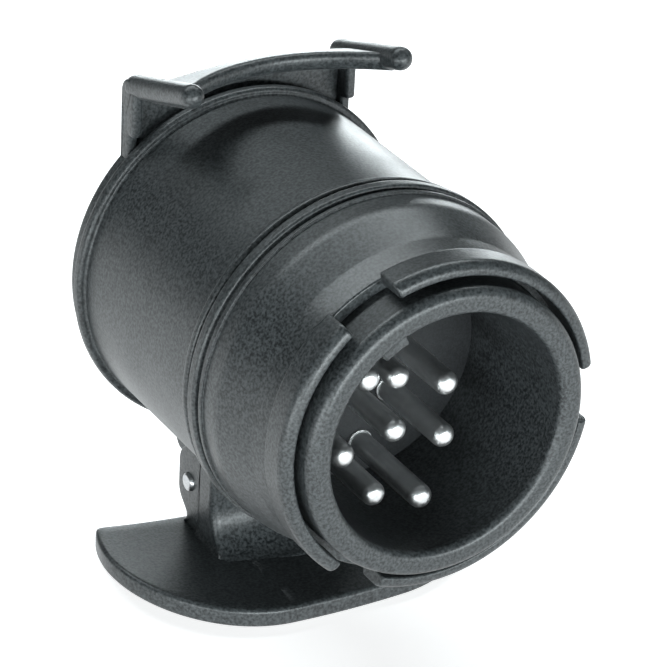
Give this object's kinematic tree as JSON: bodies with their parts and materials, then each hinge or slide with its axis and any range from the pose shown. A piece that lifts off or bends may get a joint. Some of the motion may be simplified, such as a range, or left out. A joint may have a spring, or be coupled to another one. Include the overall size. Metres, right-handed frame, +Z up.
{
  "type": "trailer wiring adapter",
  "caption": "Short round black plastic adapter: bayonet plug with pins at one end, sleeve socket under a sprung flap lid at the other, and a finger plate below.",
  "frame": {"origin": "centre of the plug's rim plane, on the plug's axis", "axes": "+Y along the plug's axis towards the socket and its lid, +Z up away from the finger plate, +X to the right seen from the plug"},
  "size_m": [0.059, 0.0657, 0.0781],
  "materials": {
    "shell_plastic": "black glass-filled plastic with a satin grain",
    "insert_plastic": "black moulded plastic, dull",
    "pin_metal": "nickel-plated, bright at the rounded tips",
    "sleeve_brass": "plain turned brass",
    "seal_rubber": "black rubber",
    "hinge_steel": "plain steel",
    "lead_cover": "soft plastic insulation"
  },
  "bodies": {
    "housing": {"front_shell": "shell_plastic", "shell_gasket": "seal_rubber", "rear_shell": "shell_plastic", "finger_plate": "shell_plastic", "hinge_pin": "hinge_steel", "lid_spring": "hinge_steel", "socket_insert": "insert_plastic", "insert_screws": "hinge_steel", "socket_contact_1": "sleeve_brass", "socket_contact_2": "sleeve_brass", "socket_contact_3": "sleeve_brass", "socket_contact_4": "sleeve_brass", "socket_contact_5": "sleeve_brass", "socket_contact_6": "sleeve_brass", "socket_contact_7": "sleeve_brass", "lead_1": "lead_cover", "lead_2": "lead_cover", "lead_3": "lead_cover", "lead_4": "lead_cover", "lead_5": "lead_cover", "lead_6": "lead_cover", "lead_7": "lead_cover"},
    "plug_core": {"plug_collar": "shell_plastic", "collar_seal": "seal_rubber", "contact_carrier": "insert_plastic", "plug_pin_1": "pin_metal", "plug_pin_2": "pin_metal", "plug_pin_3": "pin_metal", "plug_pin_4": "pin_metal", "plug_pin_5": "pin_metal", "plug_pin_6": "pin_metal", "plug_pin_7": "pin_metal", "plug_pin_8": "pin_metal"},
    "lid": {"lid_cover": "shell_plastic", "lid_gasket": "seal_rubber"}
  },
  "joints": [
    {"name": "bayonet_turn", "type": "hinge", "parent": "housing", "child": "plug_core", "pos_m": [0, 0, 0], "axis": [0, 1, 0], "range_deg": [0, 60], "deforming": ["lead_1", "lead_2", "lead_3", "lead_4", "lead_5", "lead_6", "lead_7"]},
    {"name": "lid_hinge", "type": "hinge", "parent": "housing", "child": "lid", "pos_m": [0, 0.0505, -0.0306], "axis": [-1, 0, 0], "range_deg": [0, 90], "stiffness_Nm_per_rad": 0.02, "springref_deg": -45.84, "deforming": ["lid_spring"]}
  ]
}
